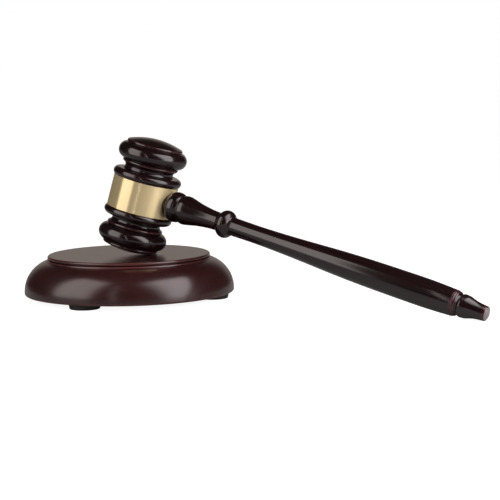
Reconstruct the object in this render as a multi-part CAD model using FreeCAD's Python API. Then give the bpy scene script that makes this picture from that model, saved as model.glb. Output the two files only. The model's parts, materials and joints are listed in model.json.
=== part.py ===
import FreeCAD, Part
import math
import os

# A turned gavel at rest on its round sound block, in millimetres, +Z up.
# The origin is the centre of the sound block's striking face. The handle runs
# along +X, from the head down to the table, where its butt end rests.
# Each turned piece is drawn as half of its section, radius along X and
# distance along the turning axis along Z, and spun once round that axis.

# Sound block
block_radius = 65.5
block_height = 24.0
striking_face_radius = 50.75
underside_inset = 0.7
underside_edge_height = 1.5
underside_edge_bulge = 0.3
ovolo_top_radius = 51.25
ovolo_top_depth = 3.35
ovolo_bulge = 4.05
face_rim_height = 2.0
face_rim_bulge = 0.9
rim_groove_depth = 1.5
rim_groove_height = 0.35
fillet_bead_bulge = 0.35
fillet_bead_inset = 0.3

# Rubber feet, each at its angle round the block from +X. The two in the photo
# stand closer than a third of a turn, and the unseen one midway in the rest.
foot_angles = {"foot_front": -85.5, "foot_right": 18.0, "foot_left": 146.3}
foot_height = 3.3
foot_top_radius = 9.8
foot_bottom_radius = 9.25
foot_edge_round = 0.5
foot_edge_bulge = 0.14
foot_to_block_edge = 1.8

# Gavel head, sizes along its axis measured outwards from its middle
band_radius = 20.4
band_thickness = 0.6
band_width = 19.5
band_edge_round = 0.22
band_seam_gap = 0.2
band_side_clearance = 0.08
glue_gap = 0.05
bead_radius = 21.4
bead_width = 5.0
bead_inner_foot_radius = 20.2
bead_outer_foot_radius = 18.6
neck_edge_radius = 16.1
neck_radius = 15.2
neck_length = 4.15
list_foot_radius = 16.9
list_end_radius = 17.0
list_width = 1.7
list_bulge = 0.45
list_step = 0.9
mushroom_radius = 21.5
mushroom_width = 10.15
mushroom_root_radius = 17.6
mushroom_gap = 0.35
face_rim_foot_radius = 16.9
face_radius = 16.5
face_edge_width = 1.85
face_edge_bulge = 0.7
dome_height = 3.0

# Handle, sizes along its axis measured outwards from its seat in the head
tenon_radius = 5.5
tenon_length = 26.0
tenon_chamfer = 1.2
bore_spare_depth = 1.0
collar_foot_radius = 6.6
seat_clearance = 0.15
collar_length = 9.2
collar_radius = 9.35
collar_groove_radius = 8.1
shoulder_length = 4.4
shoulder_radius = 8.85
shoulder_bulge = 0.38
taper_length = 22.2
taper_neck_radius = 5.62
ring_cove_length = 2.0
ring_cove_bulge = 0.16
ring_length = 8.1
ring_radius = 8.55
ring_end_radius = 6.15
shaft_start_radius = 5.58
shaft_length = 149.6
shaft_waist_radius = 5.45
grip_radius = 8.4
grip_end_radius = 7.68
end_bead_width = 1.25
end_bead_bulge = 0.3
end_bead_inset = 0.25
end_bead_middle_radius = 7.2
end_bead_foot_radius = 6.6
end_groove_radius = 5.6
end_groove_length = 1.1
tip_shoulder_length = 2.2
tip_shoulder_radius = 6.8
tip_shoulder_bulge = 0.5
tip_length = 14.25
tip_end_radius = 4.35
tip_end_chamfer = 0.25
tip_dome_height = 1.25

# Pose at rest: where the middle of the head stands over the sound block, how
# far the head leans back about the handle, and the gap that keeps it clear
head_over_block = (10.69, 1.23)
head_lean_degrees = 5.88
rest_clearance = 0.1

# One overrun for every cut
cut_overrun = 5.0

# How far along the collar its fullest point lies
collar_peak_share = 0.46

# Taper below the shoulder: share of its length, and of its fall still to come
taper_shares = ((0.14, 0.81), (0.33, 0.50), (0.55, 0.26), (0.80, 0.06))

# Shaft: share of its length, and of its swell from waist to grip reached there
waist_length_share = 0.07
swell_shares = ((0.20, 0.09), (0.34, 0.357), (0.49, 0.713), (0.63, 0.92))
grip_length_share = 0.79
grip_fall_shares = ((0.91, 0.84),)

# Hollow of the tip: share of its length, and of its fall still to come
tip_shares = ((0.12, 0.95), (0.43, 0.45), (0.68, 0.17))

X_AXIS = FreeCAD.Vector(1, 0, 0)
Y_AXIS = FreeCAD.Vector(0, 1, 0)
Z_AXIS = FreeCAD.Vector(0, 0, 1)
ORIGIN = FreeCAD.Vector(0, 0, 0)
FULL_TURN = 360.0
QUARTER_TURN = 90.0

# Sizes that follow from those above
underside = -block_height
table = underside - foot_height
barrel_radius = band_radius - band_thickness - glue_gap
seat_radius = collar_foot_radius + seat_clearance
seat_distance = math.sqrt(barrel_radius**2 - seat_radius**2)
collar_start = band_radius + seat_clearance
tip_end_distance = (collar_start + collar_length + shoulder_length + taper_length
                    + 2 * ring_cove_length + ring_length + shaft_length + 2 * end_bead_width
                    + end_groove_length + tip_shoulder_length + tip_length)


class HalfSection:
    """Half of a turned piece's section, drawn point by point from one end of its axis."""

    def __init__(self, radius, distance):
        self.start = FreeCAD.Vector(radius, 0, distance)
        self.here = self.start
        self.edges = []

    def line(self, radius, distance):
        """Run straight to a radius at a distance along the axis."""
        there = FreeCAD.Vector(radius, 0, distance)
        self.edges.append(Part.LineSegment(self.here, there).toShape())
        self.here = there

    def arc(self, radius, distance, bulge):
        """Run by an arc that stands off its chord by bulge, away from the axis if positive."""
        there = FreeCAD.Vector(radius, 0, distance)
        chord = there - self.here
        outwards = FreeCAD.Vector(chord.z, 0, -chord.x).normalize()
        crown = (self.here + there) * 0.5 + outwards * bulge
        self.edges.append(Part.Arc(self.here, crown, there).toShape())
        self.here = there

    def arc_through(self, crown_radius, crown_distance, radius, distance):
        """Run by the arc that passes through a crown on its way."""
        crown = FreeCAD.Vector(crown_radius, 0, crown_distance)
        there = FreeCAD.Vector(radius, 0, distance)
        self.edges.append(Part.Arc(self.here, crown, there).toShape())
        self.here = there

    def curve(self, points):
        """Run by one smooth curve through points."""
        stations = [self.here] + [FreeCAD.Vector(radius, 0, distance) for radius, distance in points]
        spline = Part.BSplineCurve()
        spline.interpolate(Points=stations)
        self.edges.append(spline.toShape())
        self.here = stations[-1]

    def spun(self):
        """Close the outline, fill it and spin it once round the axis."""
        self.edges.append(Part.LineSegment(self.here, self.start).toShape())
        section = Part.Face(Part.Wire(Part.__sortEdges__(self.edges)))
        return section.revolve(ORIGIN, Z_AXIS, FULL_TURN)


def rod(radius, start, end):
    """A plain cylinder along X, the handle's axis, from one distance to another."""
    return Part.makeCylinder(radius, end - start, X_AXIS * start, X_AXIS)


def sound_block():
    """The round block: flat striking face, beaded rim, ovolo side and eased lower edge."""
    rim_foot = -face_rim_height
    bead_top = rim_foot - rim_groove_height
    rim_radius = striking_face_radius - face_rim_bulge
    groove_radius = striking_face_radius - rim_groove_depth
    bead_edge_radius = striking_face_radius - fillet_bead_inset
    outline = HalfSection(0, underside)
    outline.line(block_radius - underside_inset, underside)
    outline.arc(block_radius, underside + underside_edge_height, underside_edge_bulge)
    outline.arc(ovolo_top_radius, -ovolo_top_depth, ovolo_bulge)
    outline.arc(bead_edge_radius, bead_top, fillet_bead_bulge)
    outline.line(groove_radius, bead_top)
    outline.line(groove_radius, rim_foot)
    outline.line(rim_radius, rim_foot)
    outline.arc(rim_radius, 0, face_rim_bulge)
    outline.line(0, 0)
    return outline.spun()


def rubber_foot(angle):
    """One tapered rubber foot, glued flat to the underside near its edge."""
    outline = HalfSection(0, table)
    outline.line(foot_bottom_radius - foot_edge_round, table)
    outline.arc(foot_bottom_radius, table + foot_edge_round, foot_edge_bulge)
    outline.line(foot_top_radius, underside)
    outline.line(0, underside)
    foot = outline.spun()
    foot.translate(X_AXIS * (block_radius - foot_to_block_edge - foot_top_radius))
    foot.rotate(ORIGIN, Z_AXIS, angle)
    return foot


def head_half():
    """From the middle of the barrel out to one domed striking face."""
    band_edge = band_width / 2 + band_side_clearance
    bead_end = band_edge + bead_width
    list_start = bead_end + neck_length
    list_end = list_start + list_width
    mushroom_start = list_end + mushroom_gap
    mushroom_end = mushroom_start + mushroom_width
    face_edge = mushroom_end + face_edge_width
    outline = HalfSection(0, 0)
    outline.line(barrel_radius, 0)
    outline.line(barrel_radius, band_edge)
    outline.line(bead_inner_foot_radius, band_edge)
    outline.arc_through(bead_radius, band_edge + bead_width / 2, bead_outer_foot_radius, bead_end)
    outline.line(neck_edge_radius, bead_end)
    outline.arc_through(neck_radius, bead_end + neck_length / 2, list_foot_radius, list_start)
    outline.arc(list_end_radius, list_end, list_bulge)
    outline.line(list_end_radius - list_step, list_end)
    outline.line(mushroom_root_radius, mushroom_start)
    outline.arc(mushroom_root_radius, mushroom_end, mushroom_radius - mushroom_root_radius)
    outline.line(face_rim_foot_radius, mushroom_end)
    outline.arc(face_radius, face_edge, face_edge_bulge)
    outline.arc(0, face_edge + dome_height, cap_chord_bulge(face_radius, dome_height))
    return outline.spun()


def cap_sphere_radius(base_radius, height):
    """Radius of the sphere that a shallow dome of that base and height is cut from."""
    return (base_radius**2 + height**2) / (2 * height)


def cap_chord_bulge(base_radius, height):
    """How far such a dome's outline stands off the chord from its edge to its top."""
    sphere = cap_sphere_radius(base_radius, height)
    return sphere - math.sqrt(sphere**2 - (base_radius**2 + height**2) / 4)


def gavel_head():
    """The turned head: barrel, beads, coves and domed faces, bored and seated for the handle."""
    half = head_half()
    head = half.fuse(half.mirror(ORIGIN, Z_AXIS)).removeSplitter()
    bore_end = seat_distance - tenon_length - bore_spare_depth
    head = head.cut(rod(tenon_radius + glue_gap, bore_end, band_radius + cut_overrun))
    return head.cut(rod(seat_radius, seat_distance, band_radius + cut_overrun))


def brass_band():
    """The brass strip rolled round the barrel, holed for the collar, with its seam at the back."""
    inner = band_radius - band_thickness
    edge = band_width / 2
    outline = HalfSection(inner, -edge)
    outline.line(band_radius - band_edge_round, -edge)
    outline.line(band_radius, band_edge_round - edge)
    outline.line(band_radius, edge - band_edge_round)
    outline.line(band_radius - band_edge_round, edge)
    outline.line(inner, edge)
    band = outline.spun()
    band = band.cut(rod(seat_radius, 0, band_radius + cut_overrun))
    seam_length = band_thickness + 2 * cut_overrun
    seam = Part.makeBox(seam_length, band_seam_gap, band_width + 2 * cut_overrun)
    seam.translate(FreeCAD.Vector(-inner - seam_length / 2, -band_seam_gap / 2,
                                  -edge - cut_overrun))
    return band.cut(seam)


def handle():
    """The turned handle: tenon, collar, tapered neck, ring, swelled grip and small domed tip."""
    reach = seat_distance - tenon_length
    outline = HalfSection(0, reach)
    outline.line(tenon_radius - tenon_chamfer, reach)
    outline.line(tenon_radius, reach + tenon_chamfer)
    outline.line(tenon_radius, seat_distance)
    outline.line(collar_foot_radius, seat_distance)
    outline.line(collar_foot_radius, collar_start)
    reach = collar_start + collar_length
    outline.arc_through(collar_radius, collar_start + collar_length * collar_peak_share,
                        collar_groove_radius, reach)
    reach += shoulder_length
    outline.arc(shoulder_radius, reach, shoulder_bulge)
    fall = shoulder_radius - taper_neck_radius
    outline.curve([(taper_neck_radius + fall * left, reach + taper_length * share)
                   for share, left in taper_shares]
                  + [(taper_neck_radius, reach + taper_length)])
    reach += taper_length + ring_cove_length
    outline.arc(ring_end_radius, reach, -ring_cove_bulge)
    outline.arc_through(ring_radius, reach + ring_length / 2, ring_end_radius, reach + ring_length)
    reach += ring_length + ring_cove_length
    outline.arc(shaft_start_radius, reach, -ring_cove_bulge)
    swell = grip_radius - shaft_waist_radius
    grip_fall = grip_radius - grip_end_radius
    outline.curve([(shaft_waist_radius, reach + shaft_length * waist_length_share)]
                  + [(shaft_waist_radius + swell * gained, reach + shaft_length * share)
                     for share, gained in swell_shares]
                  + [(grip_radius, reach + shaft_length * grip_length_share)]
                  + [(grip_end_radius + grip_fall * left, reach + shaft_length * share)
                     for share, left in grip_fall_shares]
                  + [(grip_end_radius, reach + shaft_length)])
    reach += shaft_length
    outline.line(grip_end_radius - end_bead_inset, reach)
    outline.arc(end_bead_middle_radius, reach + end_bead_width, end_bead_bulge)
    reach += 2 * end_bead_width
    outline.arc(end_bead_foot_radius, reach, end_bead_bulge)
    reach += end_groove_length
    outline.line(end_groove_radius, reach)
    reach += tip_shoulder_length
    outline.arc(tip_shoulder_radius, reach, tip_shoulder_bulge)
    fall = tip_shoulder_radius - tip_end_radius
    outline.curve([(tip_end_radius + fall * left, reach + tip_length * share)
                   for share, left in tip_shares]
                  + [(tip_end_radius, reach + tip_length)])
    reach += tip_length + tip_end_chamfer
    outline.line(tip_end_radius - tip_end_chamfer, reach)
    outline.arc(0, reach + tip_dome_height, cap_chord_bulge(outline.here.x, tip_dome_height))
    turned = outline.spun()
    turned.rotate(ORIGIN, Y_AXIS, QUARTER_TURN)
    return turned


def resting_pose():
    """Where the gavel lies: a domed face touches the block and the tip touches the table.

    The dome's sphere stands on the striking face and the tip's rim on the
    table, which fixes how far the handle slopes down.
    """
    lean = math.radians(head_lean_degrees)
    dome_radius = cap_sphere_radius(face_radius, dome_height)
    face_top = (band_width / 2 + band_side_clearance + bead_width + neck_length + list_width
                + mushroom_gap + mushroom_width + face_edge_width + dome_height)
    sphere_above_middle = dome_radius - face_top
    along = tip_end_distance
    across = tip_end_radius + sphere_above_middle * math.cos(lean)
    rise = rest_clearance + dome_radius - table
    slope = math.asin(rise / math.hypot(along, across)) - math.atan2(across, along)
    middle_height = table + along * math.sin(slope) + tip_end_radius * math.cos(slope)
    turn = FreeCAD.Rotation(Y_AXIS, math.degrees(slope))
    lean_back = FreeCAD.Rotation(X_AXIS, -head_lean_degrees)
    middle = FreeCAD.Vector(head_over_block[0], head_over_block[1], middle_height)
    return FreeCAD.Placement(middle, turn.multiply(lean_back))


def main():
    """Build every piece in its place and write one file for each."""
    pieces = {"sound_block": sound_block()}
    for name, angle in foot_angles.items():
        pieces[name] = rubber_foot(angle)
    pose = resting_pose()
    for name, build in (("gavel_head", gavel_head), ("brass_band", brass_band),
                        ("handle", handle)):
        piece = build()
        piece.Placement = pose.multiply(piece.Placement)
        pieces[name] = piece
    os.makedirs("parts", exist_ok=True)
    for name, piece in pieces.items():
        piece.exportStep("parts/" + name + ".step")
        print(name, "volume", round(piece.Volume), "valid", piece.isValid())


main()
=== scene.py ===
# %% [markdown]
# A turned gavel resting on its sound block.
#
# The real set is lathe work: a head, a handle and a round block of dark
# lacquered wood, with a brass band rolled round the head and three rubber feet
# under the block. The CAD frame already holds every piece at its real size and
# in its real place. This scene gives each one a smoother surface and a real
# finish, then photographs the set from the same side as the picture.
# %% Load the frame
import json
import math
import bmesh
import bpy
import numpy as np
from mathutils import Matrix, Vector


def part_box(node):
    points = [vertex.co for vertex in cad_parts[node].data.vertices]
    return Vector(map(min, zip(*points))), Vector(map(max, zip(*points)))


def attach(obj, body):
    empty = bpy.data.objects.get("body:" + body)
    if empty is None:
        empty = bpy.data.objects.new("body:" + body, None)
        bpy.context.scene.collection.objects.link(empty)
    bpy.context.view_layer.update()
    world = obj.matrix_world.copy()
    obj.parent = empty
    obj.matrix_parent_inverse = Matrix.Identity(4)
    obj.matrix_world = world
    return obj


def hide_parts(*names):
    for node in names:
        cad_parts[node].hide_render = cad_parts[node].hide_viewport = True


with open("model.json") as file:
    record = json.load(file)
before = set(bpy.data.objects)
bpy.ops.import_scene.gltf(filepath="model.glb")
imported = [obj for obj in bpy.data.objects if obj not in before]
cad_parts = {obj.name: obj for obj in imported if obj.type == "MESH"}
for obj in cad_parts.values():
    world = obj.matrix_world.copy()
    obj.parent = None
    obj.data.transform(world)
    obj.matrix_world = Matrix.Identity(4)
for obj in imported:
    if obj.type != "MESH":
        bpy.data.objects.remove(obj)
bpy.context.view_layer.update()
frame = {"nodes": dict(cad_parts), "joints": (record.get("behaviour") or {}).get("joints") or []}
MM = 0.001
print("pieces in the frame:", ", ".join(sorted(frame["nodes"])))

# %% [markdown]
# Where the gavel lies.
#
# Gavel pieces are easiest to draw standing straight: the middle of the head at
# zero, the head's axis upright and the handle along +X. One matrix then lays
# them down. The handle slopes from the head to the desk, and the head leans a
# little away from the viewer about the handle. Blender objects stay at the
# origin, so the matrix goes into each mesh and, as a Mapping node, into the
# wood pattern, which then turns with the piece. A second matrix lays upright
# work along +X, as the handle and its bore need.
# %% Pose of the gavel
handle_slope = math.radians(14.5010)
head_lean = math.radians(5.88)
tip_end_distance = 238.1
tip_end_radius = 4.35

pivot = Vector(frame["joints"][0]["pos_m"]) / MM
downhill = Vector((math.cos(handle_slope), 0, -math.sin(handle_slope)))
uphill_side = Vector((math.sin(handle_slope), 0, math.cos(handle_slope)))
head_middle = pivot - downhill * tip_end_distance + uphill_side * tip_end_radius
gavel_turn = Matrix.Rotation(handle_slope, 4, "Y") @ Matrix.Rotation(-head_lean, 4, "X")
gavel_place = Matrix.Translation(head_middle * MM) @ gavel_turn
upright = Matrix.Identity(4)
lay_along_x = Matrix.Rotation(math.radians(90), 4, "Y")
print("middle of the head, mm:", [round(value, 2) for value in head_middle])

# %% [markdown]
# Drawing a turned piece.
#
# A turner works to half of a section: radius against distance along the axis.
# A hundred hand-typed points would do it, but nobody could read or change them.
# So a small class draws the outline from the straight runs, arcs and one kind
# of smooth curve that a lathe tool cuts, all in millimetres.
# %% The outline class
outline_spacing = 0.05
print("outline points in a millimetre:", round(1 / outline_spacing))


class Outline:
    """Half of a turned piece's section, as closely spaced points in millimetres."""

    def __init__(self, radius, distance):
        self.points = [np.array((radius, distance), float)]

    def _add(self, length, place_at):
        steps = max(2, math.ceil(length / outline_spacing))
        self.points += [place_at((step + 1) / steps) for step in range(steps)]

    def line(self, radius, distance):
        """A straight run."""
        here = self.points[-1]
        there = np.array((radius, distance), float)
        self._add(np.linalg.norm(there - here), lambda share: here + (there - here) * share)

    def arc(self, radius, distance, bulge):
        """An arc that stands off its chord by bulge, away from the axis if positive."""
        here = self.points[-1]
        there = np.array((radius, distance), float)
        chord = there - here
        outwards = np.array((chord[1], -chord[0])) / np.linalg.norm(chord)
        self.arc_through(*((here + there) / 2 + outwards * bulge), radius, distance)

    def arc_through(self, crown_radius, crown_distance, radius, distance):
        """The arc that passes through a crown on its way."""
        here = self.points[-1]
        crown = np.array((crown_radius, crown_distance), float)
        there = np.array((radius, distance), float)
        rows = 2 * np.array((crown - here, there - here))
        sides = np.array((crown @ crown - here @ here, there @ there - here @ here))
        centre = np.linalg.solve(rows, sides)
        start, middle, end = (math.atan2(*(point - centre)[::-1]) for point in (here, crown, there))
        turn = (end - start) % math.tau
        if (middle - start) % math.tau > turn:
            turn -= math.tau
        size = np.linalg.norm(here - centre)

        def place_at(share):
            angle = start + turn * share
            return centre + size * np.array((math.cos(angle), math.sin(angle)))

        self._add(abs(turn) * size, place_at)

    def curve(self, stations):
        """One smooth curve through stations: a natural cubic spline by distance along it."""
        knots = np.array([self.points[-1]] + [np.array(station, float) for station in stations])
        gaps = np.linalg.norm(np.diff(knots, axis=0), axis=1)
        at = np.concatenate(([0], np.cumsum(gaps)))
        rows = np.eye(len(knots))
        sides = np.zeros_like(knots)
        for k in range(1, len(knots) - 1):
            rows[k, k - 1:k + 2] = gaps[k - 1], 2 * (gaps[k - 1] + gaps[k]), gaps[k]
            rise = (knots[k + 1] - knots[k]) / gaps[k] - (knots[k] - knots[k - 1]) / gaps[k - 1]
            sides[k] = 6 * rise
        bends = np.linalg.solve(rows, sides)

        def place_at(share):
            along = share * at[-1]
            k = min(int(np.searchsorted(at, along, "right")) - 1, len(gaps) - 1)
            left, right, gap = at[k + 1] - along, along - at[k], gaps[k]
            return ((bends[k] * left**3 + bends[k + 1] * right**3) / (6 * gap)
                    + (knots[k] / gap - bends[k] * gap / 6) * left
                    + (knots[k + 1] / gap - bends[k + 1] * gap / 6) * right)

        self._add(at[-1], place_at)

    def add_mirror_image(self):
        """Put the outline's mirror image before it, on the far side of distance zero."""
        mirror = np.array((1, -1))
        self.points = [point * mirror for point in self.points[:0:-1]] + self.points


# %% [markdown]
# Sanding.
#
# No edge on lacquered wood is sharp: the turner sands the work on the lathe and
# the lacquer fills what is left. A Bevel modifier would need clean edges of its
# own for every ring. Blurring the outline along its length does what sandpaper
# does: flats and sweeps keep their shape and each arris gets a small round.
# Where the outline still turns sharply outwards the stain is rubbed thin, and
# that is stored beside each point for the material to use. Last, the row is
# thinned: a point stays after every few degrees of turn or every few
# millimetres, so beads get many faces and flats get few.
# %% Sand and thin an outline
largest_turn = math.radians(5)
largest_gap = 2.4
arris_turn_rates = (0.35, 1.8)
blur_reach = 4
same_point = outline_spacing / 1000


def sanded(outline, softness):
    """Rows of radius, distance and rub, softened over a length in millimetres."""
    points = np.array(outline.points)
    steps = np.linalg.norm(np.diff(points, axis=0), axis=1)
    points = points[np.concatenate(([True], steps > same_point))]
    along = np.concatenate(([0], np.cumsum(np.linalg.norm(np.diff(points, axis=0), axis=1))))
    even = np.arange(0, along[-1], outline_spacing)
    points = np.stack([np.interp(even, along, points[:, k]) for k in (0, 1)], axis=1)
    points[0, 0] = points[-1, 0] = 0
    reach = math.ceil(blur_reach * softness / outline_spacing)
    across_the_axis = np.array((-1, 1))
    padded = np.concatenate((points[reach:0:-1] * across_the_axis, points,
                             points[-2:-reach - 2:-1] * across_the_axis))
    weights = np.exp(-0.5 * (np.arange(-reach, reach + 1) * outline_spacing / softness) ** 2)
    weights /= weights.sum()
    points = np.stack([np.convolve(padded[:, k], weights, "valid") for k in (0, 1)], axis=1)
    points[0, 0] = points[-1, 0] = 0
    run = np.diff(points, axis=0)
    headings = np.unwrap(np.arctan2(run[:, 1], run[:, 0]))
    turns = np.concatenate(([0], np.diff(headings), [0]))
    rates = turns / outline_spacing
    low, high = arris_turn_rates
    rub = np.clip((rates - low) / (high - low), 0, 1)
    kept = [0]
    turned = gone = 0.0
    for k in range(1, len(points) - 1):
        turned += abs(turns[k])
        gone += outline_spacing
        if turned >= largest_turn or gone >= largest_gap:
            kept.append(k)
            turned = gone = 0.0
    kept.append(len(points) - 1)
    return np.column_stack((points[kept], rub[kept]))


# %% [markdown]
# Node helpers.
#
# Both the shapes and the finishes below are node trees. One short helper adds a
# node and fills its inputs: a plain value is set on the socket, and a socket of
# another node is linked. A second one wraps the Math node, which comes back
# again and again. Trees could also be clicked together by hand, but then no
# length in this file would reach them.
# %% Add one node
def add(tree, kind, inputs=None, **settings):
    """One new node with its settings made and its inputs set or linked."""
    made = tree.nodes.new(kind)
    for name, value in settings.items():
        setattr(made, name, value)
    for name, value in (inputs or {}).items():
        if isinstance(value, bpy.types.NodeSocket):
            tree.links.new(value, made.inputs[name])
        else:
            made.inputs[name].default_value = value
    return made


def maths(tree, operation, *values):
    """The result of one Math node."""
    return add(tree, "ShaderNodeMath", dict(enumerate(values)), operation=operation).outputs[0]


# %% [markdown]
# Spinning the outline.
#
# A lathe makes a surface by a rule, so Geometry Nodes make it here: a grid has
# one row for each outline point and one column for each step round the axis,
# and every grid point moves to its row's radius at its column's angle. The
# Screw modifier could do the same, but it can't carry the rub value, and the
# tree can be used again for every turned piece. The ends and the seam are then
# merged, so the surface is closed.
# %% Build the lathe tree
seam_merge_distance = 0.002 * MM


def lathe_tree():
    """A node group that spins a row of outline points round the Z axis."""
    tree = bpy.data.node_groups.new("Lathe", "GeometryNodeTree")
    face = tree.interface
    face.new_socket("Outline", in_out="INPUT", socket_type="NodeSocketGeometry")
    face.new_socket("Steps round", in_out="INPUT", socket_type="NodeSocketInt")
    face.new_socket("Finish", in_out="INPUT", socket_type="NodeSocketMaterial")
    face.new_socket("Piece", in_out="OUTPUT", socket_type="NodeSocketGeometry")
    given = add(tree, "NodeGroupInput").outputs
    size = add(tree, "GeometryNodeAttributeDomainSize", {"Geometry": given["Outline"]})
    columns = maths(tree, "ADD", given["Steps round"], 1)
    grid = add(tree, "GeometryNodeMeshGrid", {
        "Vertices X": size.outputs["Point Count"], "Vertices Y": columns})
    index = add(tree, "GeometryNodeInputIndex").outputs[0]
    row = maths(tree, "FLOOR", maths(tree, "DIVIDE", maths(tree, "ADD", index, 0.5), columns))
    column = maths(tree, "SUBTRACT", index, maths(tree, "MULTIPLY", row, columns))
    angle = maths(tree, "MULTIPLY", maths(tree, "DIVIDE", column, given["Steps round"]), math.tau)
    point = add(tree, "GeometryNodeSampleIndex", {
        "Geometry": given["Outline"], "Value": add(tree, "GeometryNodeInputPosition").outputs[0],
        "Index": row}, data_type="FLOAT_VECTOR")
    place = add(tree, "ShaderNodeSeparateXYZ", {0: point.outputs["Value"]}).outputs
    spun = add(tree, "ShaderNodeCombineXYZ", {
        "X": maths(tree, "MULTIPLY", place["X"], maths(tree, "COSINE", angle)),
        "Y": maths(tree, "MULTIPLY", place["X"], maths(tree, "SINE", angle)),
        "Z": place["Y"]})
    rub = add(tree, "GeometryNodeInputNamedAttribute", {"Name": "rub"}, data_type="FLOAT")
    rub_there = add(tree, "GeometryNodeSampleIndex", {
        "Geometry": given["Outline"], "Value": rub.outputs["Attribute"], "Index": row},
        data_type="FLOAT")
    marked = add(tree, "GeometryNodeStoreNamedAttribute", {
        "Geometry": grid.outputs["Mesh"], "Name": "rub", "Value": rub_there.outputs["Value"]},
        data_type="FLOAT", domain="POINT")
    moved = add(tree, "GeometryNodeSetPosition", {
        "Geometry": marked.outputs[0], "Position": spun.outputs[0]})
    closed = add(tree, "GeometryNodeMergeByDistance", {
        "Geometry": moved.outputs[0], "Distance": seam_merge_distance})
    smooth = add(tree, "GeometryNodeSetShadeSmooth", {0: closed.outputs[0]})
    real = add(tree, "GeometryNodeRealizeInstances", {"Geometry": smooth.outputs[0]})
    finished = add(tree, "GeometryNodeSetMaterial", {
        "Geometry": real.outputs[0], "Material": given["Finish"]})
    add(tree, "NodeGroupOutput", {"Piece": finished.outputs[0]})
    return tree


lathe = lathe_tree()
print("lathe tree nodes:", len(lathe.nodes))

# %% [markdown]
# From a tree to a plain mesh.
#
# A modifier is only a recipe, and a frame piece needs the finished surface. So
# each tree runs once, its result is copied as an ordinary mesh, and the modifier
# goes. Applying it by an operator would need the right object selected first, and
# copying the evaluated mesh doesn't. The faces are then turned outwards, and
# every face gets the piece's one finish, whatever the modifiers left behind.
# %% Run a tree and keep its result
def socket_identifier(tree, name):
    """The identifier that a modifier knows a named input by."""
    return next(item.identifier for item in tree.interface.items_tree
                if item.name == name and item.in_out == "INPUT")


def run_tree(piece, tree, inputs):
    """Give a piece the result of a tree as its own mesh."""
    modifier = piece.modifiers.new(tree.name, "NODES")
    modifier.node_group = tree
    for name, value in inputs.items():
        modifier[socket_identifier(tree, name)] = value
    keep_result(piece)


def keep_result(piece):
    """Replace a piece's mesh by what its modifiers make of it, and remove them."""
    graph = bpy.context.evaluated_depsgraph_get()
    made = bpy.data.meshes.new_from_object(
        piece.evaluated_get(graph), preserve_all_data_layers=True, depsgraph=graph)
    piece.modifiers.clear()
    old = piece.data
    piece.data = made
    made.name = piece.name
    bpy.data.meshes.remove(old)


def face_outwards(mesh):
    """Turn every face of a closed mesh outwards."""
    work = bmesh.new()
    work.from_mesh(mesh)
    bmesh.ops.recalc_face_normals(work, faces=work.faces)
    work.to_mesh(mesh)
    work.free()


def one_finish(mesh, finish):
    """Give every face of a mesh the same finish, in its only slot."""
    mesh.materials.clear()
    mesh.materials.append(finish)
    mesh.polygons.foreach_set("material_index", [0] * len(mesh.polygons))


def turned_piece(name, outline, softness, steps, finish, place=upright):
    """A finished solid of revolution, sanded over softness and standing at its place."""
    rows = sanded(outline, softness)
    mesh = bpy.data.meshes.new(name + "_outline")
    mesh.from_pydata([(radius * MM, distance * MM, 0) for radius, distance, _ in rows], [], [])
    mesh.attributes.new("rub", "FLOAT", "POINT").data.foreach_set("value", rows[:, 2])
    piece = bpy.data.objects.new(name, mesh)
    bpy.context.scene.collection.objects.link(piece)
    run_tree(piece, lathe, {"Steps round": steps, "Finish": finish})
    one_finish(piece.data, finish)
    piece.data.transform(place)
    face_outwards(piece.data)
    print(name, "outline points:", len(rows), "faces:", len(piece.data.polygons))
    return piece


# %% [markdown]
# Helpers for the finishes.
#
# Every finish on the set is made of noise, ramps, blends of two colours and
# bumps, so each of these nodes is wrapped once. A pattern has to stay on its
# piece when the gavel is laid down, so a Mapping node takes the coordinates back
# to where the piece was drawn. Generated coordinates move with a piece too, but
# they stretch with its box, so the handle would get coarser wood than the head.
# %% Finish helpers
mix_colour_inputs = (6, 7)
mix_colour_output = 2


def new_finish(name):
    """A new material, its node tree and its shader."""
    finish = bpy.data.materials.new(name)
    finish.use_nodes = True
    return finish, finish.node_tree, finish.node_tree.nodes["Principled BSDF"]


def before_placing(tree, place):
    """Coordinates of a piece as it was before place moved it, so patterns move with it."""
    at = add(tree, "ShaderNodeTexCoord").outputs["Object"]
    return add(tree, "ShaderNodeMapping", {
        "Vector": at, "Location": place.to_translation(), "Rotation": place.to_euler()},
        vector_type="TEXTURE").outputs[0]


def noise(tree, at, scale, detail, roughness=0.5):
    """Noise between 0 and 1."""
    return add(tree, "ShaderNodeTexNoise", {
        "Vector": at, "Scale": scale, "Detail": detail, "Roughness": roughness}).outputs["Fac"]


def ramp(tree, value, start, end, low=0.0, high=1.0, shape="LINEAR"):
    """From low to high while a value runs from start to end, and level beyond them."""
    return add(tree, "ShaderNodeMapRange", {
        "Value": value, "From Min": start, "From Max": end, "To Min": low, "To Max": high},
        interpolation_type=shape).outputs[0]


def blend(tree, share, first, second):
    """The colour at a share of the way between two, each a plain colour or a socket."""
    ends = [end if isinstance(end, bpy.types.NodeSocket) else (*end, 1) for end in (first, second)]
    return add(tree, "ShaderNodeMix", {"Factor": share, **dict(zip(mix_colour_inputs, ends))},
               data_type="RGBA").outputs[mix_colour_output]


def bump(tree, height, depth, strength=1.0):
    """A surface direction tilted by a relief that is depth deep."""
    return add(tree, "ShaderNodeBump", {
        "Height": height, "Distance": depth, "Strength": strength}).outputs[0]


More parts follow.
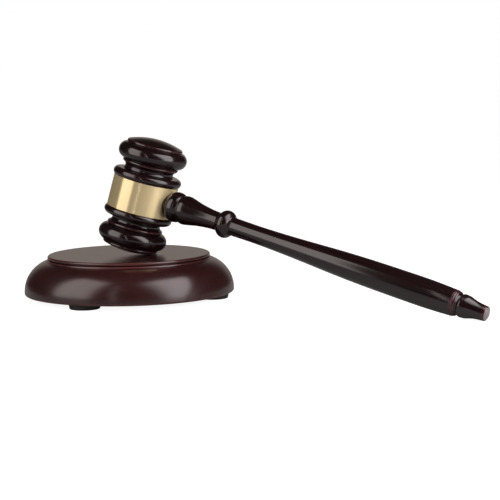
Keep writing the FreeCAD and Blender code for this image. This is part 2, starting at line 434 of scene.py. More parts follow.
# %% [markdown]
# Growth rings.
#
# A turner's blank is sawn well away from the middle of the tree, so the rings
# cross it as gentle curves. The Wave Texture draws rings too, but its wobble
# can't be shared with the rubbed patches. So the distance from the middle of the
# tree is measured here, pushed about by a slow noise and turned into bands by a
# sine.
# %% Rings of the tree
growth_ring_width = 2.6 * MM
ring_wander = 0.012
ring_stretch = 0.04


def growth_rings(tree, wood, wander, pith_mm):
    """Bands between 0 and 1 round the middle of the tree."""
    from_pith = add(tree, "ShaderNodeVectorMath", {
        0: wood, 1: (-pith_mm[0] * MM, -pith_mm[1] * MM, 0)}, operation="ADD").outputs[0]
    flat = add(tree, "ShaderNodeVectorMath", {
        0: from_pith, 1: (1, 1, ring_stretch)}, operation="MULTIPLY").outputs[0]
    radius = add(tree, "ShaderNodeVectorMath", {0: flat}, operation="LENGTH").outputs["Value"]
    wavy = maths(tree, "MULTIPLY_ADD", wander, ring_wander, radius)
    rings = maths(tree, "SINE", maths(tree, "MULTIPLY", wavy, math.tau / growth_ring_width))
    return maths(tree, "MULTIPLY_ADD", rings, 0.5, 0.5)


# %% [markdown]
# Wood under lacquer.
#
# The gavel is stained almost black and the block a dark red brown, both under
# clear gloss lacquer. From a step away the wood looks even, and close up it
# shows long pores, faint growth rings and a warmer colour where an arris was
# rubbed. A picture texture would repeat and stretch on turned work. Noise that
# is stretched along the grain runs through the solid as real wood does, so end
# grain and side grain both come out right.
#
# The stained wood has almost no gloss of its own: all the shine comes from the
# clear coat over it. Past a given distance along the grain the colour turns pale
# grey: a painted reflection on the handle's butt, standing in for its end face's sheen.
# %% Lacquered wood
fibre_stretch = 0.045
wander_scale = 28.0
streak_scale = 900.0
pore_scale = 3600.0
cloud_scale = 45.0
ripple_scale = 320.0
streak_share = 0.55
cloud_share = 0.45
tone_range = (0.42, 0.88)
pore_range = (0.60, 0.70)
pore_cover = 0.65
pore_tone = 0.35
pore_depth = 0.02 * MM
pore_strength = 0.6
streak_relief = 0.3
rub_patch_range = (0.35, 0.60)
least_rub = 0.45
# Pale grey painted on the handle's butt: a painted reflection, not bare wood.
painted_butt_reflection = (0.125, 0.115, 0.114)
butt_reflection_blend = 0.25 * MM
far_beyond_the_piece = 1000.0
wood_roughness = 0.5
wood_specular = 0.05
lacquer_ior = 1.55
lacquer_ripple = 0.0012 * MM


def lacquered_wood(name, place, grain, pith_mm, ring_strength, stain, rubbed, coat_roughness,
                   butt_reflection_from_mm=far_beyond_the_piece):
    """Stained wood under a clear coat.

    grain is the turn that carries Z onto the grain, pith_mm is where the middle
    of the tree was, and stain holds the dark and the light of the growth rings.
    """
    finish, tree, shader = new_finish(name)
    dark, light = stain
    wood = before_placing(tree, place @ grain)
    wander = noise(tree, wood, wander_scale, 3.0)
    rings = growth_rings(tree, wood, wander, pith_mm)
    fibres = add(tree, "ShaderNodeVectorMath", {
        0: wood, 1: (1, 1, fibre_stretch)}, operation="MULTIPLY").outputs[0]
    streaks = noise(tree, fibres, streak_scale, 5.0, 0.65)
    pores = ramp(tree, noise(tree, fibres, pore_scale, 2.0), *pore_range)
    cloud = noise(tree, wood, cloud_scale, 2.0)
    tone = maths(tree, "ADD", maths(tree, "MULTIPLY", rings, ring_strength),
                 maths(tree, "ADD", maths(tree, "MULTIPLY", streaks, streak_share),
                       maths(tree, "MULTIPLY", cloud, cloud_share)))
    stained = blend(tree, ramp(tree, tone, *tone_range), dark, light)
    rub = add(tree, "ShaderNodeAttribute", attribute_name="rub", attribute_type="GEOMETRY")
    rub_share = maths(tree, "MULTIPLY", rub.outputs["Fac"],
                      ramp(tree, wander, *rub_patch_range, low=least_rub))
    worn = blend(tree, rub_share, stained, rubbed)
    # Painted reflection: past a given distance along the grain the colour is painted pale grey for
    # the sheen on the butt's end face.
    along = add(tree, "ShaderNodeSeparateXYZ", {0: wood}).outputs["Z"]
    butt_reflection_from = butt_reflection_from_mm * MM
    butt_reflection_share = ramp(tree, along, butt_reflection_from, butt_reflection_from + butt_reflection_blend)
    with_butt_reflection = blend(tree, butt_reflection_share, worn, painted_butt_reflection)
    pored = blend(tree, maths(tree, "MULTIPLY", pores, pore_cover), with_butt_reflection,
                  [value * pore_tone for value in dark])
    tree.links.new(pored, shader.inputs["Base Color"])
    relief = maths(tree, "SUBTRACT", maths(tree, "MULTIPLY", streaks, streak_relief), pores)
    tree.links.new(bump(tree, relief, pore_depth, pore_strength), shader.inputs["Normal"])
    ripple = noise(tree, wood, ripple_scale, 1.0)
    tree.links.new(bump(tree, ripple, lacquer_ripple), shader.inputs["Coat Normal"])
    shader.inputs["Roughness"].default_value = wood_roughness
    shader.inputs["Specular IOR Level"].default_value = wood_specular
    shader.inputs["Coat Weight"].default_value = 1.0
    shader.inputs["Coat Roughness"].default_value = coat_roughness
    shader.inputs["Coat IOR"].default_value = lacquer_ior
    return finish


# %% [markdown]
# Two kinds of wood.
#
# Head and handle are stained alike, so their numbers stand together and only the
# run of the grain and the place in the tree differ. In the head the grain runs
# from face to face, in the handle along it, and in the block flat across. The
# block's lacquer is a little less glossy, which blurs the lamps on its side.
# %% Finishes of the wooden pieces
black_wood = {
    "ring_strength": 0.20,
    "stain": ((0.0032, 0.0007, 0.0009), (0.0098, 0.0017, 0.0023)),
    "rubbed": (0.055, 0.012, 0.013),
    "coat_roughness": 0.14}
red_brown_wood = {
    "ring_strength": 0.06,
    "stain": ((0.0167, 0.0032, 0.0034), (0.0300, 0.0062, 0.0064)),
    "rubbed": (0.10, 0.026, 0.024),
    "coat_roughness": 0.24}
head_finish = lacquered_wood("head_lacquer", gavel_place, upright, (34, 12), **black_wood)
# The handle's butt gets the painted reflection, pale grey past the end of the tip.
handle_finish = lacquered_wood("handle_lacquer", gavel_place, lay_along_x, (-20, 31), **black_wood,
                               butt_reflection_from_mm=tip_end_distance + 0.1)
block_finish = lacquered_wood("block_lacquer", upright, lay_along_x, (60, 15), **red_brown_wood)
print("nodes in a wood finish:", len(head_finish.node_tree.nodes))

# %% [markdown]
# Satin brass.
#
# The band is brass strip, drawn smooth and left satin: fine lines run round it
# and smear every reflection along the head's axis, so a lamp becomes a tall bar
# with crisp sides. The lines come from noise that is squeezed across the strip
# and stretched round it, which needs the angle round the head, and a radial
# Gradient Texture gives that. The smear is the shader's own anisotropy: lines
# alone are too fine for the picture to show it. The band isn't fully metallic,
# because the matte share stands for the haze that satin brass has.
# %% Brass
brass_tones = ((0.59, 0.489, 0.270), (0.68, 0.567, 0.322))
brass_metallic = 0.58
brass_roughness = (0.235, 0.255)
lines_round = 6.0
lines_per_metre = 9000.0
line_range = (0.3, 0.7)
line_depth = 0.0005 * MM
haze_scale = 160.0
full_smear = 1.0
quarter_turn = 0.25


def satin_brass():
    """Drawn brass strip with fine lines round the head."""
    finish, tree, shader = new_finish("satin_brass")
    head = before_placing(tree, gavel_place)
    share_round = add(tree, "ShaderNodeTexGradient", {"Vector": head},
                      gradient_type="RADIAL").outputs["Fac"]
    height = add(tree, "ShaderNodeSeparateXYZ", {0: head}).outputs["Z"]
    strip = add(tree, "ShaderNodeCombineXYZ", {
        "X": maths(tree, "MULTIPLY", share_round, lines_round),
        "Y": maths(tree, "MULTIPLY", height, lines_per_metre)}).outputs[0]
    lines = noise(tree, strip, 1.0, 4.0, 0.6)
    haze = noise(tree, head, haze_scale, 3.0)
    tone = maths(tree, "ADD", maths(tree, "MULTIPLY", lines, 0.5),
                 maths(tree, "MULTIPLY", haze, 0.5))
    smooth, rough = brass_roughness
    surface = add(tree, "ShaderNodeNewGeometry").outputs["Normal"]
    round_the_head = add(tree, "ShaderNodeVectorMath", {
        0: gavel_place.col[2].xyz, 1: surface}, operation="CROSS_PRODUCT").outputs[0]
    tree.links.new(blend(tree, tone, *brass_tones), shader.inputs["Base Color"])
    tree.links.new(ramp(tree, lines, *line_range, smooth, rough), shader.inputs["Roughness"])
    tree.links.new(bump(tree, lines, line_depth), shader.inputs["Normal"])
    tree.links.new(round_the_head, shader.inputs["Tangent"])
    shader.inputs["Anisotropic"].default_value = full_smear
    shader.inputs["Anisotropic Rotation"].default_value = quarter_turn
    shader.inputs["Metallic"].default_value = brass_metallic
    return finish


brass_finish = satin_brass()
print("nodes in the brass:", len(brass_finish.node_tree.nodes))

# %% [markdown]
# Rubber.
#
# The feet are plain black rubber, dull and a little grainy from the mould. An
# even grey would look like painted plastic. One noise gives both the tone and
# the relief, so the specks that are paler are also the ones that stand up.
# %% Rubber
rubber_tones = ((0.006, 0.006, 0.006), (0.016, 0.015, 0.015))
rubber_roughness = 0.72
speckle_scale = 2600.0
speckle_depth = 0.03 * MM


def dull_rubber():
    """Matte black rubber with a fine speckle."""
    finish, tree, shader = new_finish("dull_rubber")
    at = add(tree, "ShaderNodeTexCoord").outputs["Object"]
    speckle = noise(tree, at, speckle_scale, 3.0)
    tree.links.new(blend(tree, speckle, *rubber_tones), shader.inputs["Base Color"])
    tree.links.new(bump(tree, speckle, speckle_depth, strength=0.5), shader.inputs["Normal"])
    shader.inputs["Roughness"].default_value = rubber_roughness
    return finish


rubber_finish = dull_rubber()
print("nodes in the rubber:", len(rubber_finish.node_tree.nodes))

# %% [markdown]
# The sound block.
#
# One disc of wood: a flat face to strike, a low rounded rim, a groove, a small
# bead and a broad rounded side down to an eased lower edge. The height is read
# from the frame, and the radius and the small mouldings are drawn here.
# %% Sound block
block_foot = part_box("sound_block")[0][2] / MM
block_radius = 65.5
striking_face_radius = 50.75
underside_inset = 0.7
underside_edge_height = 1.5
underside_edge_bulge = 0.3
ovolo_top_radius = 51.25
ovolo_top_depth = 3.35
ovolo_bulge = 4.05
face_rim_height = 2.0
face_rim_bulge = 0.9
rim_groove_depth = 1.5
rim_groove_height = 0.35
fillet_bead_bulge = 0.35
fillet_bead_inset = 0.3


def block_outline():
    """From the middle of the underside out and up to the middle of the face."""
    bead_top = -face_rim_height - rim_groove_height
    outline = Outline(0, block_foot)
    outline.line(block_radius - underside_inset, block_foot)
    outline.arc(block_radius, block_foot + underside_edge_height, underside_edge_bulge)
    outline.arc(ovolo_top_radius, -ovolo_top_depth, ovolo_bulge)
    outline.arc(striking_face_radius - fillet_bead_inset, bead_top, fillet_bead_bulge)
    outline.line(striking_face_radius - rim_groove_depth, bead_top)
    outline.line(striking_face_radius - rim_groove_depth, -face_rim_height)
    outline.line(striking_face_radius - face_rim_bulge, -face_rim_height)
    outline.arc(striking_face_radius - face_rim_bulge, 0, face_rim_bulge)
    outline.line(0, 0)
    return outline


sound_block = turned_piece("sound_block_turned", block_outline(), softness=0.14, steps=288,
                           finish=block_finish)
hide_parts("sound_block")
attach(sound_block, "sound_block")

# %% [markdown]
# The feet.
#
# Three round rubber pads, narrower at the bottom, are glued under the block.
# They were set by eye: the two in view stand closer than a third of a turn. One
# pad is enough to draw, and a second small tree sets a copy of it at the angle
# of each foot, which is an input of the tree with the foot's own name.
# %% Tree that sets the feet
def feet_tree(foot_names):
    """A node group that sets one copy of a foot at each named angle round Z."""
    tree = bpy.data.node_groups.new("Set the feet", "GeometryNodeTree")
    face = tree.interface
    face.new_socket("Foot", in_out="INPUT", socket_type="NodeSocketGeometry")
    face.new_socket("Ring radius", in_out="INPUT", socket_type="NodeSocketFloat")
    for name in foot_names:
        face.new_socket(name, in_out="INPUT", socket_type="NodeSocketFloat")
    face.new_socket("Finish", in_out="INPUT", socket_type="NodeSocketMaterial")
    face.new_socket("Feet", in_out="OUTPUT", socket_type="NodeSocketGeometry")
    given = add(tree, "NodeGroupInput").outputs
    outwards = add(tree, "ShaderNodeCombineXYZ", {"X": given["Ring radius"]})
    moved = add(tree, "GeometryNodeTransform", {
        "Geometry": given["Foot"], "Translation": outwards.outputs[0]})
    joined = add(tree, "GeometryNodeJoinGeometry")
    for name in foot_names:
        spin = add(tree, "ShaderNodeCombineXYZ", {"Z": given[name]})
        there = add(tree, "GeometryNodeTransform", {
            "Geometry": moved.outputs[0], "Rotation": spin.outputs[0]})
        tree.links.new(there.outputs[0], joined.inputs[0])
    real = add(tree, "GeometryNodeRealizeInstances", {"Geometry": joined.outputs[0]})
    finished = add(tree, "GeometryNodeSetMaterial", {
        "Geometry": real.outputs[0], "Material": given["Finish"]})
    add(tree, "NodeGroupOutput", {"Feet": finished.outputs[0]})
    return tree


# %% [markdown]
# Turning the pads.
#
# A real pad is moulded: a short cone with a flat foot and an eased lower edge.
# A Cone primitive would do for the sides, but not for the eased edge, so the pad
# is spun like the wooden pieces. Its size and the three places are read from the
# frame, and the tree above sets the three copies. They stay one object, because
# they are alike and ride on the same block.
# %% Rubber feet
foot_names = ("foot_front", "foot_right", "foot_left")
foot_middles = {name: sum((Vector(corner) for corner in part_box(name)), Vector()) / 2
                for name in foot_names}
foot_angles = {name: math.atan2(middle.y, middle.x) for name, middle in foot_middles.items()}
foot_ring_radius = foot_middles["foot_front"].xy.length
foot_low, foot_high = (Vector(corner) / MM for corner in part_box("foot_front"))
foot_top_radius = (foot_high.x - foot_low.x) / 2
foot_bottom_radius = 9.25
foot_edge_round = 0.5
foot_edge_bulge = 0.14
table_height = foot_low.z

foot_outline = Outline(0, table_height)
foot_outline.line(foot_bottom_radius - foot_edge_round, table_height)
foot_outline.arc(foot_bottom_radius, table_height + foot_edge_round, foot_edge_bulge)
foot_outline.line(foot_top_radius, block_foot)
foot_outline.line(0, block_foot)
feet = turned_piece("rubber_feet", foot_outline, softness=0.12, steps=96, finish=rubber_finish)
run_tree(feet, feet_tree(foot_names), {
    "Ring radius": foot_ring_radius, "Finish": rubber_finish, **foot_angles})
one_finish(feet.data, rubber_finish)
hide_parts(*foot_names)
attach(feet, "sound_block")
print("feet, degrees:", [round(math.degrees(angle), 1) for angle in foot_angles.values()])

# %% [markdown]
# The gavel's head.
#
# Both halves of the head are alike, so only one half of the section is drawn
# and the other is its mirror: barrel, bead, hollow neck, thin list, fat
# mushroom and a shallow domed face. The handle's seat and bore are cut with a
# Boolean afterwards, because a hole across the axis isn't turned work.
# %% Sizes of the head
band_radius = 20.4
band_thickness = 0.6
band_width = 19.5
band_side_clearance = 0.08
glue_gap = 0.05
bead_radius = 21.4
bead_width = 5.0
bead_inner_foot_radius = 20.2
bead_outer_foot_radius = 18.6
neck_edge_radius = 16.1
neck_radius = 15.2
neck_length = 4.15
list_foot_radius = 16.9
list_end_radius = 17.0
list_width = 1.7
list_bulge = 0.45
list_step = 0.9
mushroom_radius = 21.5
mushroom_width = 10.15
mushroom_root_radius = 17.6
mushroom_gap = 0.35
face_rim_foot_radius = 16.9
face_radius = 16.5
face_edge_width = 1.85
face_edge_bulge = 0.7
dome_height = 3.0
barrel_radius = band_radius - band_thickness - glue_gap
print("barrel under the band, mm across:", round(2 * barrel_radius, 2))


def dome_bulge(base_radius, height):
    """How far a shallow dome's outline stands off the chord from its edge to its top."""
    sphere = (base_radius**2 + height**2) / (2 * height)
    return sphere - math.sqrt(sphere**2 - (base_radius**2 + height**2) / 4)


# %% [markdown]
# Turning and boring the head.
#
# The turner cuts the whole profile from one blank, then bores the side for the
# handle: a shallow wide seat with a flat bottom and a deep narrow hole for the
# tenon. Building the holes into the grid of the spun surface would be hard. A
# Boolean cuts them as a drill does, with a round rod laid along the handle, and
# its exact solver leaves the rest of the surface as it was.
# %% Head
def head_outline():
    """From one domed face to the other."""
    band_edge = band_width / 2 + band_side_clearance
    bead_end = band_edge + bead_width
    list_start = bead_end + neck_length
    list_end = list_start + list_width
    mushroom_start = list_end + mushroom_gap
    mushroom_end = mushroom_start + mushroom_width
    face_edge = mushroom_end + face_edge_width
    outline = Outline(barrel_radius, 0)
    outline.line(barrel_radius, band_edge)
    outline.line(bead_inner_foot_radius, band_edge)
    outline.arc_through(bead_radius, band_edge + bead_width / 2, bead_outer_foot_radius, bead_end)
    outline.line(neck_edge_radius, bead_end)
    outline.arc_through(neck_radius, bead_end + neck_length / 2, list_foot_radius, list_start)
    outline.arc(list_end_radius, list_end, list_bulge)
    outline.line(list_end_radius - list_step, list_end)
    outline.line(mushroom_root_radius, mushroom_start)
    outline.arc(mushroom_root_radius, mushroom_end, mushroom_radius - mushroom_root_radius)
    outline.line(face_rim_foot_radius, mushroom_end)
    outline.arc(face_radius, face_edge, face_edge_bulge)
    outline.arc(0, face_edge + dome_height, dome_bulge(face_radius, dome_height))
    outline.add_mirror_image()
    return outline


def cut_rod(piece, radius, start, end):
    """Cut a round hole along the handle's axis out of a gavel piece."""
    rod = Outline(0, start)
    rod.line(radius, start)
    rod.line(radius, end)
    rod.line(0, end)
    cutter = turned_piece("cutter", rod, softness=0.02, steps=96, finish=None,
                          place=gavel_place @ lay_along_x)
    modifier = piece.modifiers.new("Cut", "BOOLEAN")
    modifier.object = cutter
    modifier.solver = "EXACT"
    keep_result(piece)
    bpy.data.objects.remove(cutter)


collar_foot_radius = 6.6
seat_clearance = 0.15
tenon_radius = 5.5
tenon_length = 26.0
tenon_chamfer = 1.2
bore_spare_depth = 1.0
cut_overrun = 5.0
seat_radius = collar_foot_radius + seat_clearance
seat_distance = math.sqrt(barrel_radius**2 - seat_radius**2)

head = turned_piece("gavel_head_turned", head_outline(), softness=0.12, steps=224,
                    finish=head_finish, place=gavel_place)
cut_rod(head, tenon_radius + glue_gap, seat_distance - tenon_length - bore_spare_depth,
        band_radius + cut_overrun)
cut_rod(head, seat_radius, seat_distance, band_radius + cut_overrun)
one_finish(head.data, head_finish)
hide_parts("gavel_head")
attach(head, "gavel")

# %% [markdown]
# The brass band.
#
# The real band is a flat strip with a round hole, rolled until its ends meet
# behind the head, and it is made the same way here. Cutting the hole from a
# finished ring with a Boolean would leave long thin faces beside it, and they
# show on polished metal. Instead every point is drawn on the flat strip and
# wrapped on the barrel as it is made. The hole is the handle's round seat seen
# from the strip, and a square patch surrounds it.
# %% The strip and its hole
band_seam_gap = 0.2
half_width = band_width / 2
print("strip length, mm:", round(math.tau * band_radius - band_seam_gap, 1))


def wrapped(around, along):
    """A point of the strip, by its length round the barrel and along its axis."""
    angle = around / band_radius
    return Vector((band_radius * math.cos(angle), band_radius * math.sin(angle), along)) * MM


def hole_edge(direction):
    """Where the strip's hole lies in a direction, once the handle's seat is round."""
    across, along = seat_radius * math.cos(direction), seat_radius * math.sin(direction)
    return Vector((band_radius * math.asin(across / band_radius), along))


def square_border(share):
    """The point at a share of the way round the border of the square patch."""
    side, step = divmod(share * 4, 1)
    run = (2 * step - 1) * half_width
    return Vector(((half_width, run), (-run, half_width), (-half_width, -run),
                   (run, -half_width))[int(side)])


# %% [markdown]
# Faces of the strip.
#
# The patch is laid out in rings that pass from the round hole to its square
# border, closer together near the hole, and plain columns fill the rest of the
# strip up to the seam. All faces have four sides and follow the bend, so the
# reflections stay straight.
# %% Rings and columns
hole_columns = 24
hole_rings = 14
hole_ring_crowding = 1.25
strip_rows = hole_columns
half_strip_columns = 100
strip_merge_distance = 0.01 * MM


def add_hole_patch(work):
    """The square patch, in rings from the edge of the hole out to the border."""
    count = 4 * hole_columns
    borders = [square_border(column / count) for column in range(count)]
    edges = [hole_edge(math.atan2(border.y, border.x)) for border in borders]
    rings = []
    for ring in range(hole_rings + 1):
        share = (ring / hole_rings) ** hole_ring_crowding
        rings.append([work.verts.new(wrapped(*edge.lerp(border, share)))
                      for edge, border in zip(edges, borders)])
    for inner, outer in zip(rings, rings[1:]):
        for k in range(count):
            after = (k + 1) % count
            work.faces.new((inner[k], outer[k], outer[after], inner[after]))


def add_plain_strip(work, direction):
    """Plain columns from the patch round to the seam, on one side of the hole."""
    seam = math.pi * band_radius - band_seam_gap / 2
    columns = []
    for column in range(half_strip_columns + 1):
        around = direction * (half_width + (seam - half_width) * column / half_strip_columns)
        columns.append([work.verts.new(wrapped(around, half_width * (2 * row / strip_rows - 1)))
                        for row in range(strip_rows + 1)])
    for near, far in zip(columns, columns[1:]):
        for row in range(strip_rows):
            corners = (near[row], far[row], far[row + 1], near[row + 1])
            work.faces.new(corners if direction > 0 else corners[::-1])


def band_sheet():
    """The outer face of the strip, wrapped round the barrel."""
    work = bmesh.new()
    add_hole_patch(work)
    add_plain_strip(work, 1)
    add_plain_strip(work, -1)
    bmesh.ops.remove_doubles(work, verts=work.verts, dist=strip_merge_distance)
    for face in work.faces:
        face.smooth = True
    mesh = bpy.data.meshes.new("brass_band_rolled")
    work.to_mesh(mesh)
    work.free()
    return mesh


# %% [markdown]
# Thickness and soft edges.
#
# Solidify gives the strip its thickness, inwards from the face that shows, and
# Bevel rounds its edges, so the lip of the hole and both rims catch the light as
# metal does. Two sheets and a strip of faces between them would give the same
# wall, but the modifiers need two numbers. They run once and are then removed.
# %% Band
band_edge_round = 0.18
band_edge_segments = 3
smooth_up_to = math.radians(40)

band = bpy.data.objects.new("brass_band_rolled", band_sheet())
bpy.context.scene.collection.objects.link(band)
thickness = band.modifiers.new("Thickness", "SOLIDIFY")
thickness.thickness = band_thickness * MM
thickness.offset = -1
rounding = band.modifiers.new("Rounding", "BEVEL")
rounding.width = band_edge_round * MM
rounding.segments = band_edge_segments
rounding.limit_method = "ANGLE"
rounding.angle_limit = smooth_up_to
rounding.harden_normals = True
keep_result(band)
band.data.transform(gavel_place)
band.data.materials.append(brass_finish)
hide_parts("brass_band")
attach(band, "gavel")
print("band faces:", len(band.data.polygons))

# %% [markdown]
# The handle.
#
# One long turning: a tenon that hides in the head, a bulbous collar, a
# shoulder, a hollow taper to a ring, then a thin waist that swells to the grip,
# two small beads, a groove and a bell-shaped tip with a domed butt. The long
# sweeps pass through a few stations, given as shares of their length and of
# their rise or fall.
# %% Sizes of the handle
collar_length = 9.2
collar_radius = 9.35
collar_groove_radius = 8.1
collar_peak_share = 0.46
shoulder_length = 4.4
shoulder_radius = 8.85
shoulder_bulge = 0.38
taper_length = 22.2
taper_neck_radius = 5.62
taper_shares = ((0.14, 0.81), (0.33, 0.50), (0.55, 0.26), (0.80, 0.06))
ring_cove_length = 2.0
ring_cove_bulge = 0.16
ring_length = 8.1
ring_radius = 8.55
ring_end_radius = 6.15
shaft_start_radius = 5.58
shaft_length = 149.6
shaft_waist_radius = 5.45
waist_length_share = 0.07
swell_shares = ((0.20, 0.09), (0.34, 0.357), (0.49, 0.713), (0.63, 0.92))
grip_radius = 8.4
grip_length_share = 0.79
grip_end_radius = 7.68
grip_fall_shares = ((0.91, 0.84),)
end_bead_width = 1.25
end_bead_bulge = 0.3
end_bead_inset = 0.25
end_bead_middle_radius = 7.2
end_bead_foot_radius = 6.6
end_groove_radius = 5.6
end_groove_length = 1.1
tip_shoulder_length = 2.2
tip_shoulder_radius = 6.8
tip_shoulder_bulge = 0.5
tip_length = 14.25
tip_shares = ((0.12, 0.95), (0.43, 0.45), (0.68, 0.17))
tip_end_chamfer = 0.25
tip_dome_height = 1.25
collar_start = band_radius + seat_clearance
print("collar starts from the middle of the head, mm:", round(collar_start, 2))

# %% [markdown]
# Turning the handle.
#
# The profile runs from the tenon to the butt, each form starting where the last
# one ended, so a length can change and the rest follows. Arcs make the beads and
# coves, as their tools do. The taper, the swell and the tip are sweeps cut by
# eye: joined arcs would show a kink at each joint, and one spline through a few
# stations stays smooth. The piece is spun upright and laid along the slope.
# %% Handle
def handle_outline():
    """From the end of the tenon to the butt."""
    reach = seat_distance - tenon_length
    outline = Outline(0, reach)
    outline.line(tenon_radius - tenon_chamfer, reach)
    outline.line(tenon_radius, reach + tenon_chamfer)
    outline.line(tenon_radius, seat_distance)
    outline.line(collar_foot_radius, seat_distance)
    outline.line(collar_foot_radius, collar_start)
    reach = collar_start + collar_length
    outline.arc_through(collar_radius, collar_start + collar_length * collar_peak_share,
                        collar_groove_radius, reach)
    reach += shoulder_length
    outline.arc(shoulder_radius, reach, shoulder_bulge)
    fall = shoulder_radius - taper_neck_radius
    outline.curve([(taper_neck_radius + fall * left, reach + taper_length * share)
                   for share, left in taper_shares]
                  + [(taper_neck_radius, reach + taper_length)])
    reach += taper_length + ring_cove_length
    outline.arc(ring_end_radius, reach, -ring_cove_bulge)
    outline.arc_through(ring_radius, reach + ring_length / 2, ring_end_radius, reach + ring_length)
    reach += ring_length + ring_cove_length
    outline.arc(shaft_start_radius, reach, -ring_cove_bulge)
    swell = grip_radius - shaft_waist_radius
    grip_fall = grip_radius - grip_end_radius
    outline.curve([(shaft_waist_radius, reach + shaft_length * waist_length_share)]
                  + [(shaft_waist_radius + swell * gained, reach + shaft_length * share)
                     for share, gained in swell_shares]
                  + [(grip_radius, reach + shaft_length * grip_length_share)]
                  + [(grip_end_radius + grip_fall * left, reach + shaft_length * share)
                     for share, left in grip_fall_shares]
                  + [(grip_end_radius, reach + shaft_length)])
    reach += shaft_length
    outline.line(grip_end_radius - end_bead_inset, reach)
    outline.arc(end_bead_middle_radius, reach + end_bead_width, end_bead_bulge)
    reach += 2 * end_bead_width
    outline.arc(end_bead_foot_radius, reach, end_bead_bulge)
    reach += end_groove_length
    outline.line(end_groove_radius, reach)
    reach += tip_shoulder_length
    outline.arc(tip_shoulder_radius, reach, tip_shoulder_bulge)
    fall = tip_shoulder_radius - tip_end_radius
    outline.curve([(tip_end_radius + fall * left, reach + tip_length * share)
                   for share, left in tip_shares]
                  + [(tip_end_radius, reach + tip_length)])
    reach += tip_length + tip_end_chamfer
    butt_radius = tip_end_radius - tip_end_chamfer
    outline.line(butt_radius, reach)
    outline.arc(0, reach + tip_dome_height, dome_bulge(butt_radius, tip_dome_height))
    return outline


handle = turned_piece("handle_turned", handle_outline(), softness=0.10, steps=128,
                      finish=handle_finish, place=gavel_place @ lay_along_x)
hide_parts("handle")
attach(handle, "gavel")

# %% [markdown]
# The floor.
#
# The picture shows the set on plain white, with no edge between floor and wall.
# A white floor would light the undersides of the black lacquer, where the
# picture is dark. So the floor is matte grey, which keeps a soft shadow, and its
# glow towards the camera makes it white. Gloss sees only a trace of that glow.
# %% Floor
floor_reach = 8.0
floor_grey = (0.33, 0.33, 0.33, 1)
floor_glow_to_camera = 0.92
floor_glow_to_gloss = 0.03


def seen_rays(tree):
    """Two switches: 1 for rays from the camera, and 1 for rays off gloss or through glass."""
    path = add(tree, "ShaderNodeLightPath").outputs
    shiny = maths(tree, "MAXIMUM", path["Is Glossy Ray"], path["Is Transmission Ray"])
    return path["Is Camera Ray"], shiny


def pale_floor():
    """Matte grey floor that glows to the camera, where it looks white."""
    finish, tree, shader = new_finish("pale_floor")
    tree.nodes.remove(shader)
    matte = add(tree, "ShaderNodeBsdfDiffuse", {"Color": floor_grey}).outputs[0]
    camera_ray, shiny = seen_rays(tree)
    strength = maths(tree, "ADD", maths(tree, "MULTIPLY", camera_ray, floor_glow_to_camera),
                     maths(tree, "MULTIPLY", shiny, floor_glow_to_gloss))
    glow = add(tree, "ShaderNodeEmission", {"Strength": strength}).outputs[0]
    both = add(tree, "ShaderNodeAddShader", {0: matte, 1: glow}).outputs[0]
    tree.links.new(both, tree.nodes["Material Output"].inputs["Surface"])
    return finish


floor_mesh = bpy.data.meshes.new("floor")
floor_corners = [(x * floor_reach, y * floor_reach, table_height * MM)
                 for x, y in ((-1, -1), (1, -1), (1, 1), (-1, 1))]
floor_mesh.from_pydata(floor_corners, [], [(0, 1, 2, 3)])
floor_mesh.materials.append(pale_floor())
floor = bpy.data.objects.new("floor", floor_mesh)
bpy.context.scene.collection.objects.link(floor)
print("floor at, mm:", round(table_height, 2))

# %% [markdown]
# The room.
#
# The world is white to the camera too. What the lacquer mirrors is quieter: a
# warm pale backdrop low down behind the set, and a dim room everywhere else. A
# room that is white all round would turn black lacquer grey, and a dim one
# leaves it black, with one soft patch for each lamp. A real wall would do for
# the backdrop too, but it would catch shadows and show its edges.
# %% World
backdrop_side = (-0.514, 0.858, 0)
backdrop_side_range = (0.82, 0.99)
backdrop_height_range = (0.10, 0.72)
backdrop_tint = (1.0, 0.87, 0.78)
backdrop_glow = 0.425
room_glow = 0.02
fill_light = 0.25
white = (1, 1, 1)


def studio_world():
    """White to the camera; to gloss, pale near the horizon behind the set and dim elsewhere."""
    world = bpy.data.worlds.new("studio")
    world.use_nodes = True
    tree = world.node_tree
    tree.nodes.remove(tree.nodes["Background"])
    way = add(tree, "ShaderNodeTexCoord").outputs["Generated"]
    behind = add(tree, "ShaderNodeVectorMath", {0: way, 1: backdrop_side},
                 operation="DOT_PRODUCT").outputs["Value"]
    height = add(tree, "ShaderNodeSeparateXYZ", {0: way}).outputs["Z"]
    sideways = ramp(tree, behind, *backdrop_side_range, shape="SMOOTHSTEP")
    low_down = ramp(tree, height, *backdrop_height_range, 1.0, 0.0, "SMOOTHSTEP")
    sweep = maths(tree, "MULTIPLY", sideways, low_down)
    mirrored = maths(tree, "MULTIPLY_ADD", sweep, backdrop_glow - room_glow, room_glow)
    camera_ray, shiny = seen_rays(tree)
    matte_share = maths(tree, "SUBTRACT", 1.0, shiny)
    lit = maths(tree, "ADD", maths(tree, "MULTIPLY", shiny, mirrored),
                maths(tree, "MULTIPLY", matte_share, fill_light))
    back = add(tree, "ShaderNodeBackground", {
        "Color": blend(tree, shiny, white, backdrop_tint),
        "Strength": maths(tree, "MAXIMUM", lit, camera_ray)}).outputs[0]
    tree.links.new(back, tree.nodes["World Output"].inputs["Surface"])
    return world


bpy.context.scene.world = studio_world()
print("nodes in the world:", len(bpy.context.scene.world.node_tree.nodes))

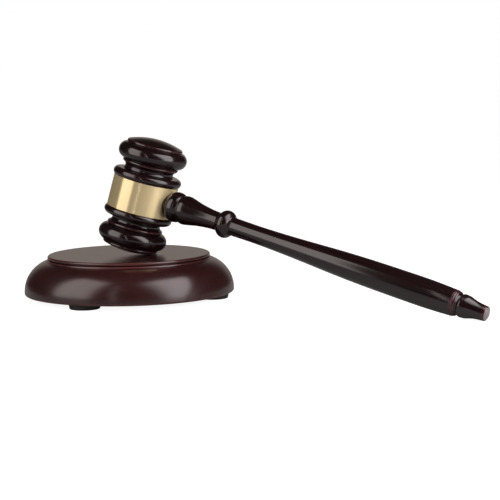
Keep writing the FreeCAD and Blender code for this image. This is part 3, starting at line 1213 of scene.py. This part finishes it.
# %% [markdown]
# The lights.
#
# Two softboxes stand in front of the set, one on each side of the camera. Each
# leaves one soft window of light on every bead, and the brass shows both as
# tall bars. A narrow strip light between them draws the thin pale line on the
# band. Area lamps are the plain way to make softboxes, but they are equally
# bright all over, and real ones fade towards their edges. Each lamp's own nodes
# do that here, with a soft ramp across its width and another up its height.
#
# A fourth lamp stands low on the right. The haze of the satin brass needs it to
# grow brighter towards the collar, but it would put one more patch on every
# bead. So it lights only what is matte, and no gloss shows it.
# %% Softboxes
even_sides = ((-0.02, 0.12), (1.02, 0.88))
soft_inner_side = ((-0.02, 0.42), (1.02, 0.90))
lamp_ends = ((-0.02, 0.14), (1.01, 0.94))
warm_white = (1.0, 0.91, 0.87)


def softbox(name, place_mm, back, size_mm, brightness, colour=warm_white, sides=even_sides):
    """A rectangular lamp that fades towards its edges, its back turned away from the set."""
    lamp = bpy.data.lights.new(name, "AREA")
    lamp.shape = "RECTANGLE"
    lamp.size, lamp.size_y = (length * MM for length in size_mm)
    lamp.energy = brightness * lamp.size * lamp.size_y * math.pi
    lamp.use_nodes = True
    tree = lamp.node_tree
    spot = add(tree, "ShaderNodeSeparateXYZ", {
        0: add(tree, "ShaderNodeNewGeometry").outputs["Parametric"]}).outputs
    share = 1.0
    for place, fades in ((spot["X"], sides), (spot["Y"], lamp_ends)):
        for dark, full in fades:
            fade = ramp(tree, place, dark, full, shape="SMOOTHSTEP")
            share = maths(tree, "MULTIPLY", share, fade)
    emission = tree.nodes["Emission"]
    emission.inputs["Color"].default_value = (*colour, 1)
    tree.links.new(share, emission.inputs["Strength"])
    made = bpy.data.objects.new(name, lamp)
    made.location = Vector(place_mm) * MM
    made.rotation_euler = Vector(back).to_track_quat("Z", "Y").to_euler()
    bpy.context.scene.collection.objects.link(made)
    print(name, "watts:", round(lamp.energy, 2))
    return made


softbox("softbox_left", place_mm=(-178, -328, 259), back=(-0.467, -0.831, 0.302),
        size_mm=(384, 590), brightness=2.8)
softbox("softbox_right", place_mm=(586, -25, 205), back=(0.641, -0.078, 0.764),
        size_mm=(560, 840), brightness=4.3, colour=(1.0, 0.92, 0.935), sides=soft_inner_side)
softbox("strip_left", place_mm=(138, -428, 230), back=(0.307, -0.952, 0),
        size_mm=(10, 560), brightness=6.5)
matte_fill = softbox("matte_fill", place_mm=(600, -180, 150), back=(0.958, -0.287, 0),
                     size_mm=(300, 300), brightness=8.0, colour=(1.0, 0.95, 0.93))
matte_fill.visible_glossy = False

# %% [markdown]
# The camera.
#
# The set is seen from a little above, with the handle running to the right and
# towards the viewer. The lens is long, so the block's ellipse stays shallow.
# The place was found by fitting the outlines of block, head and handle.
# %% Camera
camera_place = Vector((640.09, -921.11, 131.37))
camera_heading = math.radians(30.918)
camera_pitch = math.radians(-6.654)
camera_roll = math.radians(-0.972)
sensor_width = 36.0
lens_length = 129.6

ahead = Vector((-math.sin(camera_heading) * math.cos(camera_pitch),
                math.cos(camera_heading) * math.cos(camera_pitch), math.sin(camera_pitch)))
level_right = Vector((math.cos(camera_heading), math.sin(camera_heading), 0))
level_up = level_right.cross(ahead)
right = level_right * math.cos(camera_roll) + level_up * math.sin(camera_roll)
up = level_up * math.cos(camera_roll) - level_right * math.sin(camera_roll)
turn = Matrix((right, up, -ahead)).transposed().to_4x4()
lens = bpy.data.cameras.new("camera")
lens.lens = lens_length
lens.sensor_width = sensor_width
lens.clip_start = 0.05
camera = bpy.data.objects.new("camera", lens)
camera.matrix_world = Matrix.Translation(camera_place * MM) @ turn
bpy.context.scene.collection.objects.link(camera)
bpy.context.scene.camera = camera
bpy.context.scene.view_settings.view_transform = "Standard"
print("camera to the block, mm:", round(camera_place.length))
